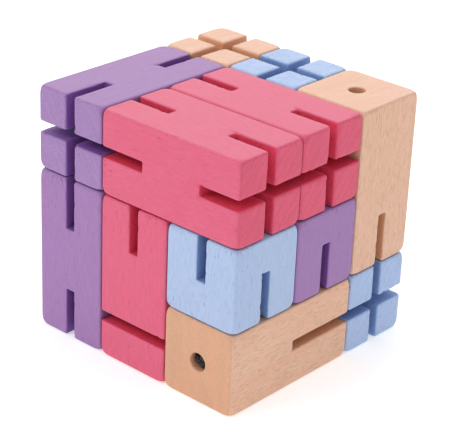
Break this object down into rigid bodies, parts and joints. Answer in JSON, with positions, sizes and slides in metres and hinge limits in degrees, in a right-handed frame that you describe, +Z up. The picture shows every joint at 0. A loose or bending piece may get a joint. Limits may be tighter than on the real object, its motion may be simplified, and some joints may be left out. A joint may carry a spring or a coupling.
{
  "type": "elastic snake puzzle",
  "caption": "Wooden snake puzzle: slotted painted blocks on one elastic cord, folded up into a cube. Each block swings or slides on the next.",
  "frame": {"origin": "under the middle of the folded cube, on the surface that it stands on", "axes": "+Z up; -Y out of the face that shows the knot of block 15, the side slot of block 12 and four colours of block; +X out of the face to the right of that one; +Y to the back"},
  "size_m": [0.0658, 0.0658, 0.0658],
  "materials": {
    "natural_wood": "planed beech, unpainted, with a thin clear coat",
    "pink_wood": "pink paint on wood, satin, grain showing",
    "blue_wood": "light blue paint on wood, satin, grain showing",
    "purple_wood": "light purple paint on wood, satin, grain showing",
    "elastic": "black elastic cord"
  },
  "bodies": {
    "block_01": {"block_01_natural_end": "natural_wood", "elastic_01": "elastic", "knot_01": "elastic"},
    "block_02": {"block_02_blue": "blue_wood", "elastic_02": "elastic"},
    "block_03": {"block_03_blue": "blue_wood", "elastic_03": "elastic"},
    "block_04": {"block_04_pink": "pink_wood", "elastic_04": "elastic"},
    "block_05": {"block_05_pink": "pink_wood", "elastic_05": "elastic"},
    "block_06": {"block_06_purple": "purple_wood", "elastic_06": "elastic"},
    "block_07": {"block_07_natural": "natural_wood", "elastic_07": "elastic"},
    "block_08": {"block_08_purple_short": "purple_wood", "elastic_08": "elastic"},
    "block_09": {"block_09_natural": "natural_wood", "elastic_09": "elastic"},
    "block_10": {"block_10_pink": "pink_wood", "elastic_10": "elastic"},
    "block_11": {"block_11_purple": "purple_wood", "elastic_11": "elastic"},
    "block_12": {"block_12_pink_side_slot": "pink_wood", "elastic_12": "elastic"},
    "block_13": {"block_13_blue_short": "blue_wood", "elastic_13": "elastic"},
    "block_14": {"block_14_purple_short": "purple_wood", "elastic_14": "elastic"},
    "block_15": {"block_15_natural_end": "natural_wood", "elastic_15": "elastic", "knot_15": "elastic"}
  },
  "joints": [
    {"name": "block_08_swing", "type": "hinge", "parent": "block_09", "child": "block_08", "pos_m": [-0.033, 0.011, 0.01092], "axis": [0, 0, 1], "range_deg": [0, 90]},
    {"name": "block_07_swing", "type": "hinge", "parent": "block_08", "child": "block_07", "pos_m": [-0.033, 0.022, 0.02192], "axis": [0, -1, 0], "range_deg": [0, 45]},
    {"name": "block_06_slide", "type": "slide", "parent": "block_07", "child": "block_06", "axis": [0, 0, 1], "range_m": [0, 0.011]},
    {"name": "block_05_swing", "type": "hinge", "parent": "block_06", "child": "block_05", "pos_m": [-0.011, -0.022, 0.06592], "axis": [0, -1, 0], "range_deg": [0, 90]},
    {"name": "block_04_swing", "type": "hinge", "parent": "block_05", "child": "block_04", "pos_m": [0.033, -0.011, 0.05492], "axis": [0, 0, -1], "range_deg": [0, 180]},
    {"name": "block_03_swing", "type": "hinge", "parent": "block_04", "child": "block_03", "pos_m": [0, 0.011, 0.06592], "axis": [1, 0, 0], "range_deg": [0, 180]},
    {"name": "block_02_slide", "type": "slide", "parent": "block_03", "child": "block_02", "axis": [1, 0, 0], "range_m": [0, 0.011]},
    {"name": "block_01_swing", "type": "hinge", "parent": "block_02", "child": "block_01", "pos_m": [0.033, 0.022, 0.02192], "axis": [0, 1, 0], "range_deg": [0, 90]},
    {"name": "block_10_slide", "type": "slide", "parent": "block_09", "child": "block_10", "axis": [1, 0, 0], "range_m": [0, 0.011]},
    {"name": "block_11_swing", "type": "hinge", "parent": "block_10", "child": "block_11", "pos_m": [-0.033, -0.011, 0.03292], "axis": [0, 0, -1], "range_deg": [0, 90]},
    {"name": "block_12_swing", "type": "hinge", "parent": "block_11", "child": "block_12", "pos_m": [-0.011, -0.033, 0.01092], "axis": [0, 0, -1], "range_deg": [0, 90]},
    {"name": "block_13_swing", "type": "hinge", "parent": "block_12", "child": "block_13", "pos_m": [0.011, -0.033, 0.03292], "axis": [0, 0, -1], "range_deg": [0, 90]},
    {"name": "block_14_slide", "type": "slide", "parent": "block_13", "child": "block_14", "axis": [1, 0, 0], "range_m": [0, 0.011]},
    {"name": "block_15_swing", "type": "hinge", "parent": "block_14", "child": "block_15", "pos_m": [0.033, 0, 0.02192], "axis": [0, -1, 0], "range_deg": [0, 180]}
  ]
}
